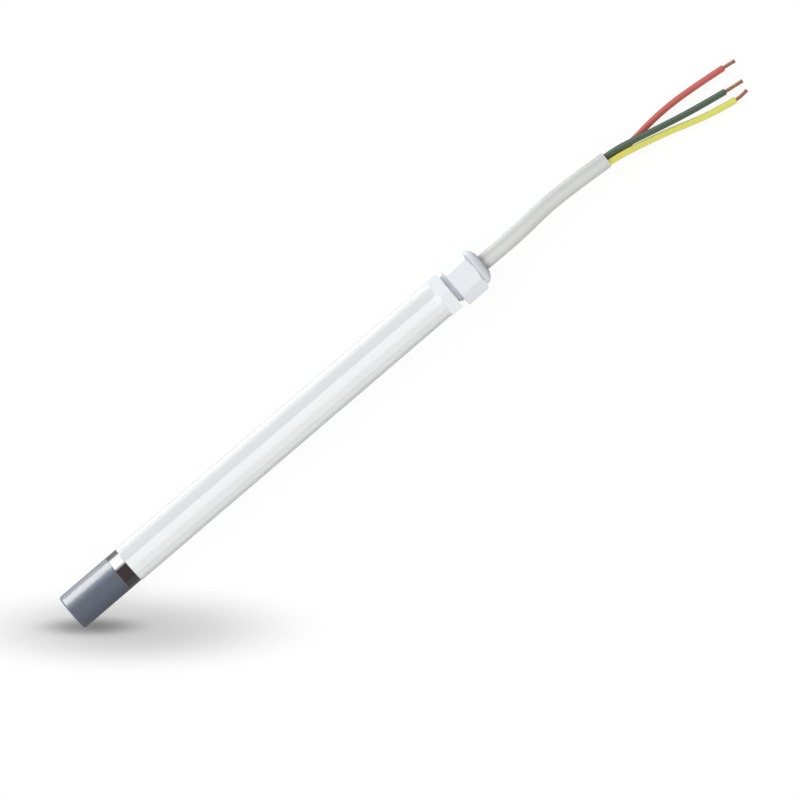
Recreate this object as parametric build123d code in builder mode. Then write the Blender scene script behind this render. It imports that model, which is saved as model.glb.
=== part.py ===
from build123d import *
import math
import os

os.makedirs("parts", exist_ok=True)

# A duct probe for temperature and humidity, lying on a table with its lead out flat.
# It lies along +X, filter tip at -X, and rests on the corners of its two hexagons at z = 0.
# Lengths are in millimetres. A station is a distance along the stem from the filter's tip.

# Clearances

seat_gap = 0.05  # between pieces that are pressed, glued or screwed home together
run_gap = 0.08  # radial, between a piece that turns or slides and what it turns on
card_gap = 0.03  # each side of a circuit board in its slot
edge_break = 0.3  # the small bevel on turned edges that don't show
shown_edge = 0.15  # the finer bevel where the ring meets the tube

# Tube

tube_d = 15.0
tube_wall = 2.0
tube_len = 150.0

# Filter cap: a sintered cup on a plated threaded ring

filter_step = 0.2  # the tube stands this much proud of the cup and its ring
cup_len = 22.5
cup_wall = 1.7
cup_nose_bevel = 0.5
cup_floor_bevel = 0.8
cup_foot_len = 2.2
cup_foot_wall = 1.0
ring_len = 5.0
ring_seat_wall = 1.0  # what the ring's thread leaves of the tube around it
ring_thread_len = 6.0
ring_wall = 1.2
ring_relief_w = 0.6
ring_relief_depth = 0.3

# Sensor head: what stands in the filter, and what seals it off

gasket_t = 0.5
plug_setback = 0.6
plug_len = 9.4
plug_seal_cord_d = 1.0
plug_seal_groove_w = 1.3
seal_bite = 0.02  # the rubber rings lie this close to their grooves and bores
seal_sides = 8  # the rubber rings' section, an even polygon with a flat on each wall
potting_len = 3.0
board_t = 1.0
board_corner = 0.6
sensor_board_w = 5.6
sensor_board_tip = 5.0
sensor_board_drop = 1.6
board_slit_place = 12.5
board_slit_len = 4.0
board_slit_w = 0.7
humidity_place = 3.8
humidity_w = 3.0
humidity_h = 0.9
humidity_port_d = 1.4
humidity_port_depth = 0.4
thermistor_place = 8.6
thermistor_l = 2.0
thermistor_w = 1.25
thermistor_h = 0.7
chip_cap = 0.35
chip_cap_rise = 0.05

# Electronics in the tube. A place is measured from the front of the main board, and an
# inset from its rear, so a longer board leaves more room between the two groups.

main_board_gap = 9.5
wire_room = 10.0  # from the main board's rear to the gland's thread
board_room = 0.35  # radial, between the main board's lower edges and the tube's bore
card_step = 1.3  # the main board lies this much lower than the sensor board
socket_place = 0.5
socket_len = 7.0
socket_side_wall = 0.8
socket_h = 2.6
socket_depth = 5.0
socket_end_gap = 0.4
contact_count = 6
contact_pitch = 1.0
contact_w = 0.4
contact_foot = 1.1
contact_t = 0.25
saddle_w = 4.0
saddle_inset = 10.5  # of the front one as a place, of the rear one as an inset
saddle_lip = 0.6
amplifier_place = 18.5
amplifier_l = 4.9
amplifier_w = 3.9
amplifier_h = 1.4
leg_count = 4
leg_pitch = 1.27
leg_w = 0.42
leg_t = 0.2
leg_reach = 1.0
processor_place = 26.0
processor_w = 5.0
processor_h = 0.9
processor_key = 0.3
body_bevel = 0.15
chip_place = 36.5
chip_l = 1.6
chip_w = 0.8
chip_h = 0.45
chip_columns = 5
chip_rows = 2
chip_pitch_x = 2.6
chip_pitch_y = 3.4
inductor_inset = 41.0
inductor_w = 5.0
inductor_corner = 1.0
inductor_base_h = 2.3
inductor_dome_d = 4.4
inductor_dome_h = 0.5
regulator_inset = 33.0
regulator_l = 4.5
regulator_w = 4.0
regulator_h = 1.6
regulator_tab_l = 1.2
regulator_tab_w = 2.0
regulator_tab_t = 0.45
capacitor_inset = 25.0
capacitor_count = 2
capacitor_pitch = 6.4
capacitor_d = 5.0
capacitor_h = 5.4
capacitor_foot_w = 5.2
capacitor_foot_h = 0.9
capacitor_foot_corner = 1.2
terminal_inset = 3.5
terminal_len = 6.2
terminal_h = 5.0
terminal_pitch = 2.54
terminal_ways = 3
terminal_wire_h = 2.2  # the wires' middle over the board
terminal_wire_depth = 3.2
wire_tip_gap = 0.3
terminal_screw_inset = 1.9
terminal_screw_d = 2.0
terminal_screw_len = 1.1
terminal_screw_sink = 0.3
terminal_slot_w = 0.4
terminal_slot_depth = 0.5

# Gland: a hexagonal body screwed into the tube, and a dome nut that clamps the lead

hex_step = 0.25  # the hexagons' flats stand this much proud of the tube
hex_corner_round = 0.3
hex_chamfer_angle = 30.0
hex_roll = 15.0  # each hexagon is rolled this far to its own side of a corner straight down
flange_t = 5.0
gland_seat_wall = 1.25  # what the gland's thread leaves of the tube around it
gland_thread_len = 8.0
gland_thread_tail = 0.5
o_ring_cord_d = 1.0
o_ring_groove_w = 1.3
gland_mouth_d = 8.8
gland_mouth_len = 6.5
gland_bore_gap = 0.2  # radial, round the jacket
neck_gap = 2.2
neck_relief_depth = 0.4
neck_relief_w = 0.7
finger_root = 6.0
finger_len = 5.7
finger_count = 8
finger_slit = 0.8
finger_wall = 1.05
finger_step = 0.2  # the neck's thread stands this much proud of the fingers
finger_tip_drop = 0.7
finger_taper = 1.3
seal_wall = 1.4
seal_len = 8.0
seal_inset = 0.5
seal_bevel = 0.4
nut_hex_len = 10.0
nut_thread_tail = 1.7
nut_cone_end = 1.9
nut_cone_drop = 0.3  # the cone closes to this much inside the seal's outer face
nut_groove_w = 0.35
nut_groove_depth = 0.4
dome_step = 0.25  # the hexagon's flats stand this much proud of the dome
dome_len = 3.7
nut_exit_gap = 0.35  # radial, round the jacket
nut_exit_bevel = 0.3
nut_lip_w = 0.4

# Lead

jacket_d = 6.5
core_d = 2.1
core_gap = 0.04
strands_d = 1.1
jacket_setback = 0.5  # from the flange's front face to the jacket's end inside the gland
wire_lead_in = 4.5  # the wires run straight for this far before the terminal block
inner_straight = 6.5
middle_lag = 3.0  # the wire that comes up from below bends this much later
arc_share = 0.45  # of the shorter run beside a corner, taken up by the corner's arc

# Derived sizes

tube_r = tube_d / 2
bore_r = tube_r - tube_wall
filter_r = tube_r - filter_step
cup_bore_r = filter_r - cup_wall
cup_foot_r = cup_bore_r + cup_foot_wall
ring_seat_r = tube_r - ring_seat_wall
ring_thread_r = ring_seat_r - run_gap
ring_bore_r = ring_seat_r - ring_wall
gland_seat_r = tube_r - gland_seat_wall
gland_thread_r = gland_seat_r - seat_gap
hex_af = tube_d + 2 * hex_step
hex_side_angle = math.radians(30)
hex_corner_r = hex_af / 2 / math.cos(hex_side_angle)
rounded_corner_r = hex_corner_r - hex_corner_round / math.cos(hex_side_angle)
axis_z = rounded_corner_r * math.cos(math.radians(hex_roll)) + hex_corner_round
chamfer_run = (hex_corner_r - hex_af / 2) * math.tan(math.radians(hex_chamfer_angle))
jacket_r = jacket_d / 2
seal_bore_r = jacket_r + seat_gap
seal_r = seal_bore_r + seal_wall
finger_r = seal_r + seat_gap + finger_wall
neck_r = finger_r + finger_step
core_offset = (core_d + core_gap) / math.sqrt(3)

# Stations along the stem

ring_at = cup_len
tube_at = ring_at + ring_len
ring_end = tube_at + ring_thread_len
shoulder_at = ring_end + gasket_t
plug_at = shoulder_at + plug_setback
potting_at = plug_at + plug_len
main_board_at = potting_at + potting_len + main_board_gap
flange_at = tube_at + tube_len
gland_thread_at = flange_at - gland_thread_len
main_board_end = gland_thread_at - wire_room
neck_at = flange_at + flange_t
nut_at = neck_at + neck_gap
nut_hex_end = nut_at + nut_hex_len
dome_end = nut_hex_end + dome_len
jacket_at = flange_at + jacket_setback

# Heights over the stem's axis

main_board_drop = sensor_board_drop + card_step
sensor_deck = board_t / 2 - sensor_board_drop
main_deck = board_t / 2 - main_board_drop
wire_level = main_deck + terminal_wire_h

# The main board is as wide as the tube's bore allows at its height

board_corner_r = bore_r - board_room
main_board_w = 2 * math.sqrt(board_corner_r**2 - (main_board_drop + board_t / 2) ** 2)

# The stem's middle is at x = 0, so every station is shifted by half the length

tip_x = -dome_end / 2
stem_axis = Axis((tip_x, 0, axis_z), (1, 0, 0))
profile = Plane(origin=(tip_x, 0, axis_z), x_dir=(1, 0, 0), z_dir=(0, -1, 0))


def station(distance):
    """The plane across the stem at a station: x to the side, y up, z towards the lead."""
    return Plane(origin=(tip_x + distance, 0, axis_z), x_dir=(0, 1, 0), z_dir=(1, 0, 0))


def deck(distance, height):
    """A level plane over the stem's axis: x along the stem, y to the side, z up."""
    return Plane(origin=(tip_x + distance, 0, axis_z + height))


def turned(*outline, mode=Mode.ADD):
    """Turn a closed outline of (station, radius) corners about the stem's axis."""
    with BuildSketch(profile) as section:
        with BuildLine():
            Polyline(*outline, close=True)
        make_face()
    revolve(section.sketch, axis=stem_axis, mode=mode)


def tunnel(start, end, radius):
    """Bore a round hole along the stem's axis from one station to another."""
    with BuildSketch(station(start)) as section:
        Circle(radius)
    extrude(section.sketch, amount=end - start, mode=Mode.SUBTRACT)


def hexagon(start, length, roll):
    """A hexagonal bar along the stem, with its corners rounded."""
    with BuildSketch(station(start)) as outline:
        RegularPolygon(hex_af / 2, 6, major_radius=False, rotation=roll)
        fillet(outline.vertices(), radius=hex_corner_round)
    extrude(outline.sketch, amount=length)


def save(piece, name):
    """Label a finished piece and write it to its own file."""
    piece.part.label = name
    export_step(piece.part, f"parts/{name}.step")


# Sintered filter cup: a closed nose, a thin wall and a foot that sits in the ring

foot_end = cup_len + cup_foot_len
with BuildPart() as filter_cup:
    turned(
        (0, 0),
        (0, filter_r),
        (cup_len, filter_r),
        (cup_len, cup_foot_r),
        (foot_end, cup_foot_r),
        (foot_end, 0),
    )
    nose_edge = filter_cup.edges().filter_by(GeomType.CIRCLE).group_by(Axis.X)[0]
    chamfer(nose_edge, length=cup_nose_bevel)
    tunnel(cup_wall, foot_end, cup_bore_r)
    floor_edge = filter_cup.faces().filter_by(Axis.X).sort_by(Axis.X)[1].edges()
    chamfer(floor_edge, length=cup_floor_bevel)
save(filter_cup, "filter_cup")

# Plated ring: it holds the cup's foot and screws into the tube

foot_seat_end = foot_end + seat_gap
with BuildPart() as filter_ring:
    turned(
        (ring_at, cup_foot_r + seat_gap),
        (ring_at, filter_r - shown_edge),
        (ring_at + shown_edge, filter_r),
        (tube_at - shown_edge, filter_r),
        (tube_at, filter_r - shown_edge),
        (tube_at, ring_thread_r - ring_relief_depth),
        (tube_at + ring_relief_w, ring_thread_r - ring_relief_depth),
        (tube_at + ring_relief_w + ring_relief_depth, ring_thread_r),
        (ring_end - edge_break, ring_thread_r),
        (ring_end, ring_thread_r - edge_break),
        (ring_end, ring_bore_r),
        (foot_seat_end, ring_bore_r),
        (foot_seat_end, cup_foot_r + seat_gap),
    )
save(filter_ring, "filter_ring")

# Tube: a plain pipe with a threaded seat at each end

gland_seat_at = gland_thread_at - gland_thread_tail
with BuildPart() as probe_tube:
    turned(
        (tube_at, ring_seat_r),
        (tube_at, tube_r - shown_edge),
        (tube_at + shown_edge, tube_r),
        (flange_at - shown_edge, tube_r),
        (flange_at, tube_r - shown_edge),
        (flange_at, gland_seat_r),
        (gland_seat_at, gland_seat_r),
        (gland_seat_at, bore_r),
        (shoulder_at, bore_r),
        (shoulder_at, ring_seat_r),
    )
save(probe_tube, "probe_tube")

# Flat gasket between the ring's end and the shoulder in the tube

with BuildPart() as front_gasket:
    with BuildSketch(station(ring_end)):
        Circle(ring_seat_r - seat_gap)
        Circle(bore_r, mode=Mode.SUBTRACT)
    extrude(amount=gasket_t)
save(front_gasket, "front_gasket")

# Plug that carries the sensor board, with a groove for its seal


def card_slot(start, length):
    """Cut the sensor board's slot through a round plug."""
    with BuildSketch(station(start)) as section:
        with Locations((0, -sensor_board_drop)):
            Rectangle(sensor_board_w + 2 * card_gap, board_t + 2 * card_gap)
    extrude(section.sketch, amount=length, mode=Mode.SUBTRACT)


plug_r = bore_r - seat_gap
plug_seal_r = bore_r - seal_bite - plug_seal_cord_d / 2
plug_groove_r = plug_seal_r - plug_seal_cord_d / 2 - seal_bite
groove_mid = plug_at + plug_len / 2
groove_front = groove_mid - plug_seal_groove_w / 2
groove_back = groove_mid + plug_seal_groove_w / 2
with BuildPart() as sensor_plug:
    turned(
        (plug_at, 0),
        (plug_at, plug_r - edge_break),
        (plug_at + edge_break, plug_r),
        (groove_front, plug_r),
        (groove_front, plug_groove_r),
        (groove_back, plug_groove_r),
        (groove_back, plug_r),
        (potting_at - edge_break, plug_r),
        (potting_at, plug_r - edge_break),
        (potting_at, 0),
    )
    card_slot(plug_at, plug_len)
save(sensor_plug, "sensor_plug")

with BuildPart() as plug_seal:
    with BuildSketch(profile):
        with Locations((groove_mid, plug_seal_r)):
            RegularPolygon(
                plug_seal_cord_d / 2,
                seal_sides,
                major_radius=False,
                rotation=180 / seal_sides,
            )
    revolve(axis=stem_axis)
save(plug_seal, "plug_seal")

# Potting compound, poured behind the plug

with BuildPart() as potting:
    with BuildSketch(station(potting_at)):
        Circle(plug_r)
    extrude(amount=potting_len)
    card_slot(potting_at, potting_len)
save(potting, "potting")

# Sensor board: it stands in the filter and runs back into the socket on the main board.
# A milled slit keeps the tube's heat away from the two sensing elements.

socket_at = main_board_at + socket_place
sensor_board_end = socket_at + socket_depth - socket_end_gap
with BuildPart() as sensor_board:
    with BuildSketch(deck(sensor_board_tip, sensor_deck - board_t)) as outline:
        Rectangle(
            sensor_board_end - sensor_board_tip,
            sensor_board_w,
            align=(Align.MIN, Align.CENTER),
        )
        fillet(outline.vertices(), radius=board_corner)
        with Locations((board_slit_place, 0)):
            SlotOverall(board_slit_len, board_slit_w, rotation=90, mode=Mode.SUBTRACT)
    extrude(amount=board_t)
save(sensor_board, "sensor_board")

# Humidity element, with the port that lets air in to its film

with BuildPart() as humidity_element:
    with BuildSketch(deck(sensor_board_tip + humidity_place, sensor_deck)):
        Rectangle(humidity_w, humidity_w)
    extrude(amount=humidity_h)
    chamfer(humidity_element.faces().sort_by(Axis.Z)[-1].edges(), length=body_bevel)
    with Locations(deck(sensor_board_tip + humidity_place, sensor_deck + humidity_h)):
        Hole(humidity_port_d / 2, depth=humidity_port_depth)
save(humidity_element, "humidity_element")


def capped_chip(length, width, height):
    """A chip component on the present locations: a ceramic body between two metal caps."""
    standing = (Align.CENTER, Align.CENTER, Align.MIN)
    Box(length, width - 2 * chip_cap_rise, height - chip_cap_rise, align=standing)
    cap_shift = (length - chip_cap) / 2
    with GridLocations(2 * cap_shift, 0, 2, 1):
        Box(chip_cap, width, height, align=standing)


with BuildPart() as temperature_element:
    with Locations(deck(sensor_board_tip + thermistor_place, sensor_deck)):
        capped_chip(thermistor_l, thermistor_w, thermistor_h)
save(temperature_element, "temperature_element")

# Main board and the socket that takes the end of the sensor board

with BuildPart() as main_board:
    with BuildSketch(deck(main_board_at, main_deck - board_t)) as outline:
        Rectangle(
            main_board_end - main_board_at,
            main_board_w,
            align=(Align.MIN, Align.CENTER),
        )
        fillet(outline.vertices(), radius=board_corner)
    extrude(amount=board_t)
save(main_board, "main_board")

socket_w = sensor_board_w + 2 * (card_gap + socket_side_wall)
with BuildPart() as board_socket:
    with BuildSketch(deck(socket_at, main_deck)):
        Rectangle(socket_len, socket_w, align=(Align.MIN, Align.CENTER))
    extrude(amount=socket_h)
    chamfer(board_socket.edges().filter_by(Axis.X).group_by(Axis.Z)[-1], length=edge_break)
    card_slot(socket_at, socket_depth)
save(board_socket, "board_socket")

with BuildPart() as socket_contacts:
    with Locations(deck(socket_at + socket_len, main_deck)):
        with GridLocations(0, contact_pitch, 1, contact_count):
            Box(
                contact_foot,
                contact_w,
                contact_t,
                align=(Align.MIN, Align.CENTER, Align.MIN),
            )
save(socket_contacts, "socket_contacts")

# Two saddles that slide into the tube and hold the main board at its edges


def board_saddle(start):
    """The lower part of a disc in the tube's bore, slotted for the main board."""
    with BuildSketch(station(start)) as section:
        Circle(plug_r)
        with Locations((0, main_deck + saddle_lip)):
            Rectangle(
                tube_d,
                tube_d,
                align=(Align.CENTER, Align.MIN),
                mode=Mode.SUBTRACT,
            )
        with Locations((0, -main_board_drop)):
            Rectangle(
                main_board_w + 2 * card_gap,
                board_t + 2 * card_gap,
                mode=Mode.SUBTRACT,
            )
    extrude(section.sketch, amount=saddle_w)


with BuildPart() as board_saddle_front:
    board_saddle(main_board_at + saddle_inset)
save(board_saddle_front, "board_saddle_front")

with BuildPart() as board_saddle_rear:
    board_saddle(main_board_end - saddle_inset - saddle_w)
save(board_saddle_rear, "board_saddle_rear")

# Components on the main board, from the sensor end to the lead end


def on_board(distance):
    """A level plane on top of the main board, at a station along the stem."""
    return deck(distance, main_deck)


leg_top = leg_t + amplifier_h / 2 + main_deck
leg_foot = leg_t / 2 + main_deck
leg_root = amplifier_w / 2 - body_bevel
leg_knee = (amplifier_w + leg_reach) / 2
leg_toe = amplifier_w / 2 + leg_reach
amplifier_at = main_board_at + amplifier_place
with BuildPart() as signal_amplifier:
    with BuildSketch(on_board(amplifier_at).offset(leg_t)):
        Rectangle(amplifier_l, amplifier_w)
    extrude(amount=amplifier_h)
    chamfer(signal_amplifier.faces().sort_by(Axis.Z)[-1].edges(), length=body_bevel)
    for leg in range(leg_count):
        leg_shift = (leg - (leg_count - 1) / 2) * leg_pitch - leg_w / 2
        with BuildSketch(station(amplifier_at + leg_shift)):
            with BuildLine():
                Polyline(
                    (leg_root, leg_top),
                    (leg_knee, leg_top),
                    (leg_knee, leg_foot),
                    (leg_toe, leg_foot),
                )
                mirror(about=Plane.YZ)
            trace(line_width=leg_t)
        extrude(amount=leg_w)
save(signal_amplifier, "signal_amplifier")

with BuildPart() as processor:
    with BuildSketch(on_board(main_board_at + processor_place)) as outline:
        Rectangle(processor_w, processor_w)
        chamfer(outline.vertices().sort_by(Axis.X)[0], length=processor_key)
    extrude(amount=processor_h)
    chamfer(processor.faces().sort_by(Axis.Z)[-1].edges(), length=body_bevel)
save(processor, "processor")

with BuildPart() as chip_components:
    with Locations(on_board(main_board_at + chip_place)):
        with GridLocations(chip_pitch_x, chip_pitch_y, chip_columns, chip_rows):
            capped_chip(chip_l, chip_w, chip_h)
save(chip_components, "chip_components")

inductor_at = main_board_end - inductor_inset
with BuildPart() as power_inductor:
    with BuildSketch(on_board(inductor_at)) as outline:
        Rectangle(inductor_w, inductor_w)
        fillet(outline.vertices(), radius=inductor_corner)
    extrude(amount=inductor_base_h)
    with BuildSketch(on_board(inductor_at).offset(inductor_base_h)):
        Circle(inductor_dome_d / 2)
    extrude(amount=inductor_dome_h)
    chamfer(power_inductor.faces().sort_by(Axis.Z)[-1].edges(), length=body_bevel)
save(power_inductor, "power_inductor")

regulator_at = main_board_end - regulator_inset
with BuildPart() as voltage_regulator:
    with BuildSketch(on_board(regulator_at)):
        Rectangle(regulator_l, regulator_w)
    extrude(amount=regulator_h)
    chamfer(voltage_regulator.faces().sort_by(Axis.Z)[-1].edges(), length=body_bevel)
    with BuildSketch(on_board(regulator_at - regulator_l / 2)):
        Rectangle(regulator_tab_l, regulator_tab_w, align=(Align.MAX, Align.CENTER))
    extrude(amount=regulator_tab_t)
save(voltage_regulator, "voltage_regulator")

capacitors_at = main_board_end - capacitor_inset
with BuildPart() as buffer_capacitors:
    for capacitor in range(capacitor_count):
        capacitor_plane = on_board(capacitors_at + capacitor * capacitor_pitch)
        with BuildSketch(capacitor_plane) as outline:
            Rectangle(capacitor_foot_w, capacitor_foot_w)
            corners = outline.vertices().group_by(Axis.X)[-1]
            chamfer(corners, length=capacitor_foot_corner)
        extrude(amount=capacitor_foot_h)
        with BuildSketch(capacitor_plane.offset(capacitor_foot_h)):
            Circle(capacitor_d / 2)
        extrude(amount=capacitor_h - capacitor_foot_h)
    rims = buffer_capacitors.faces().sort_by(Axis.Z)[-capacitor_count:].edges()
    chamfer(rims, length=edge_break)
save(buffer_capacitors, "buffer_capacitors")

# Screw terminal for the three wires of the lead

terminal_end = main_board_end - terminal_inset
terminal_top = main_deck + terminal_h
terminal_w = terminal_ways * terminal_pitch
wire_hole_r = core_d / 2 + seat_gap
screw_hole_r = terminal_screw_d / 2 + seat_gap
screw_hole_depth = terminal_top - wire_level
screw_plane = deck(terminal_end - terminal_screw_inset, terminal_top)
with BuildPart() as terminal_block:
    with BuildSketch(deck(terminal_end, main_deck)):
        Rectangle(terminal_len, terminal_w, align=(Align.MAX, Align.CENTER))
    extrude(amount=terminal_h)
    chamfer(terminal_block.edges().filter_by(Axis.Y).group_by(Axis.Z)[-1], length=edge_break)
    with BuildSketch(station(terminal_end)):
        with Locations((0, wire_level)):
            with GridLocations(terminal_pitch, 0, terminal_ways, 1):
                Circle(wire_hole_r)
    extrude(amount=-terminal_wire_depth, mode=Mode.SUBTRACT)
    with Locations(screw_plane):
        with GridLocations(0, terminal_pitch, 1, terminal_ways):
            Hole(screw_hole_r, depth=screw_hole_depth)
save(terminal_block, "terminal_block")

with BuildPart() as terminal_screws:
    with BuildSketch(screw_plane.offset(-terminal_screw_sink)):
        with GridLocations(0, terminal_pitch, 1, terminal_ways):
            Circle(terminal_screw_d / 2)
    extrude(amount=-terminal_screw_len)
    with BuildSketch(screw_plane.offset(-terminal_screw_sink)):
        with GridLocations(0, terminal_pitch, 1, terminal_ways):
            Rectangle(terminal_screw_d, terminal_slot_w)
    extrude(amount=-terminal_slot_depth, mode=Mode.SUBTRACT)
save(terminal_screws, "terminal_screws")

# Gland body: a threaded end in the tube, the hexagonal flange, and behind the neck
# a crown of fingers round the seal. The flange's edge towards the tube is turned off.

o_ring_r = gland_seat_r - seal_bite - o_ring_cord_d / 2
o_ring_groove_r = o_ring_r - o_ring_cord_d / 2 - seal_bite
o_ring_groove_at = flange_at - o_ring_groove_w
finger_at = neck_at + finger_root
finger_end = finger_at + finger_len
seal_end = finger_end - seal_inset
seal_at = seal_end - seal_len
neck_relief_r = neck_r - neck_relief_depth
with BuildPart() as gland_body:
    hexagon(flange_at, flange_t, -hex_roll)
    turned(
        (flange_at, 0),
        (flange_at, hex_af / 2),
        (flange_at + chamfer_run, hex_corner_r),
        (neck_at, hex_corner_r),
        (neck_at, 0),
        mode=Mode.INTERSECT,
    )
    turned(
        (gland_thread_at, 0),
        (gland_thread_at, gland_thread_r - edge_break),
        (gland_thread_at + edge_break, gland_thread_r),
        (o_ring_groove_at, gland_thread_r),
        (o_ring_groove_at, o_ring_groove_r),
        (flange_at, o_ring_groove_r),
        (flange_at, 0),
    )
    turned(
        (neck_at, 0),
        (neck_at, neck_relief_r),
        (neck_at + neck_relief_w, neck_relief_r),
        (neck_at + neck_relief_w, neck_r),
        (finger_at, neck_r),
        (finger_at, finger_r),
        (finger_end - finger_taper, finger_r),
        (finger_end, finger_r - finger_tip_drop),
        (finger_end, 0),
    )
    tunnel(gland_thread_at, finger_end, jacket_r + gland_bore_gap)
    tunnel(gland_thread_at, gland_thread_at + gland_mouth_len, gland_mouth_d / 2)
    tunnel(seal_at - seat_gap, finger_end, seal_r + seat_gap)
    with BuildSketch(station(finger_at)):
        with PolarLocations(finger_r, finger_count, start_angle=hex_roll):
            Rectangle(2 * (finger_wall + seat_gap), finger_slit)
    extrude(amount=finger_len, mode=Mode.SUBTRACT)
save(gland_body, "gland_body")

with BuildPart() as gland_o_ring:
    with BuildSketch(profile):
        with Locations((flange_at - o_ring_groove_w / 2, o_ring_r)):
            RegularPolygon(
                o_ring_cord_d / 2,
                seal_sides,
                major_radius=False,
                rotation=180 / seal_sides,
            )
    revolve(axis=stem_axis)
save(gland_o_ring, "gland_o_ring")

# Rubber seal between the fingers and the lead's jacket

with BuildPart() as gland_seal:
    turned(
        (seal_at, seal_bore_r + seal_bevel),
        (seal_at, seal_r),
        (seal_end - seal_bevel, seal_r),
        (seal_end, seal_r - seal_bevel),
        (seal_end, seal_bore_r + seal_bevel),
        (seal_end - seal_bevel, seal_bore_r),
        (seal_at + seal_bevel, seal_bore_r),
    )
save(gland_seal, "gland_seal")

# Dome nut: a hexagon with its corners turned off, a fine groove, and an elliptical dome.
# Inside, the thread ends in a cone that closes the fingers on the seal.

nut_bore_r = neck_r + run_gap
nut_exit_r = jacket_r + nut_exit_gap
lip_r = nut_exit_r + nut_lip_w
dome_r = hex_af / 2 - dome_step
dome_at = nut_hex_end + nut_groove_w
dome_rise = (dome_end - dome_at) / math.sqrt(1 - (lip_r / dome_r) ** 2)
lip_angle = math.degrees(math.asin(lip_r / dome_r))
nut_cone_at = nut_hex_end - nut_thread_tail
with BuildPart() as gland_nut:
    hexagon(nut_at, nut_hex_len, hex_roll)
    turned(
        (nut_at, 0),
        (nut_at, hex_corner_r),
        (nut_hex_end - chamfer_run, hex_corner_r),
        (nut_hex_end, hex_af / 2),
        (nut_hex_end, 0),
        mode=Mode.INTERSECT,
    )
    with BuildSketch(profile):
        with BuildLine():
            EllipticalCenterArc(
                (dome_at, 0),
                dome_rise,
                dome_r,
                lip_angle,
                arc_size=90 - lip_angle,
            )
            Polyline(
                (dome_at, dome_r),
                (dome_at, dome_r - nut_groove_depth),
                (nut_hex_end, dome_r - nut_groove_depth),
                (nut_hex_end, 0),
                (dome_end, 0),
                (dome_end, lip_r),
            )
        make_face()
    revolve(axis=stem_axis)
    turned(
        (nut_at, 0),
        (nut_at, nut_bore_r + edge_break),
        (nut_at + edge_break, nut_bore_r),
        (nut_cone_at, nut_bore_r),
        (dome_end - nut_cone_end, seal_r - nut_cone_drop),
        (dome_end - nut_cone_end, nut_exit_r),
        (dome_end, nut_exit_r),
        (dome_end, 0),
        mode=Mode.SUBTRACT,
    )
    end_edges = gland_nut.edges().filter_by(GeomType.CIRCLE).group_by(Axis.X)[-1]
    chamfer(end_edges.sort_by(SortBy.RADIUS)[0], length=nut_exit_bevel)
save(gland_nut, "gland_nut")

# Wires and lead. Each follows straight runs joined by arcs as large as the runs allow.


def corner_radii(points):
    """The arc radius at each inner point of a route."""
    radii = []
    for before, corner, after in zip(points, points[1:], points[2:]):
        arriving = corner - before
        leaving = after - corner
        half_turn = math.radians(arriving.get_angle(leaving)) / 2
        shorter = min(arriving.length, leaving.length)
        radii.append(arc_share * shorter / math.tan(half_turn))
    return radii


def wire(points, diameter):
    """A round wire swept along a route."""
    with BuildLine() as route:
        FilletPolyline(*points, radius=corner_radii(points))
    with BuildSketch(Plane(origin=points[0], z_dir=points[1] - points[0])) as section:
        Circle(diameter / 2)
    path = route.wires()[0]
    sweep(section.sketch, path=path)
    return path.length


def report(name, points, diameter, length, piece):
    """Print a wire's length, its tightest arc, and its volume against its section."""
    section = math.pi * diameter**2 / 4
    share = piece.part.volume / (section * length)
    radii = [round(radius, 1) for radius in corner_radii(points)]
    print(f"{name}: {length:.1f} mm long, arc radii {radii}, volume over section {share:.4f}")


def from_mouth(*places):
    """A route's points, given ahead of the gland's mouth, to the side and over the axis."""
    return [Vector(tip_x + dome_end + x, y, axis_z + z) for x, y, z in places]


# The three wires inside, from the terminal block back to the jacket's end in the gland.
# Seen along the stem, the cores leave the jacket as a triangle: two above and one below.

core_side = core_offset * math.cos(math.radians(30))
core_rise = core_offset / 2
wire_tip_at = terminal_end - terminal_wire_depth + wire_tip_gap
clamp_at = terminal_end + wire_lead_in
inner_places = {
    "green": (core_side, core_rise, terminal_pitch, inner_straight),
    "yellow": (-core_side, core_rise, -terminal_pitch, inner_straight),
    "red": (0, -core_offset, 0, inner_straight + middle_lag),
}
for colour, (side, rise, way, straight) in inner_places.items():
    inner_route = [
        station(jacket_at).from_local_coords(Vector(side, rise, 0)),
        station(jacket_at - straight).from_local_coords(Vector(side, rise, 0)),
        station(clamp_at).from_local_coords(Vector(way, wire_level, 0)),
        station(wire_tip_at).from_local_coords(Vector(way, wire_level, 0)),
    ]
    with BuildPart() as inner_wire:
        inner_length = wire(inner_route, core_d)
    save(inner_wire, f"inner_wire_{colour}")
    report(f"inner wire {colour}", inner_route, core_d, inner_length, inner_wire)

# The jacket leaves the nut level, and sinks towards the table as it runs out

jacket_route = from_mouth(
    (jacket_at - dome_end, 0, 0),
    (4.6, 0, 0),
    (30.6, 0.42, -1.3),
    (45.6, 0.31, -2.9),
    (58.7, -0.25, -4.6),
)
with BuildPart() as cable_jacket:
    jacket_length = wire(jacket_route, jacket_d)
save(cable_jacket, "cable_jacket")
report("jacket", jacket_route, jacket_d, jacket_length, cable_jacket)

# Beyond the jacket the cores spread over the table, the red one starting under the green

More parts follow.
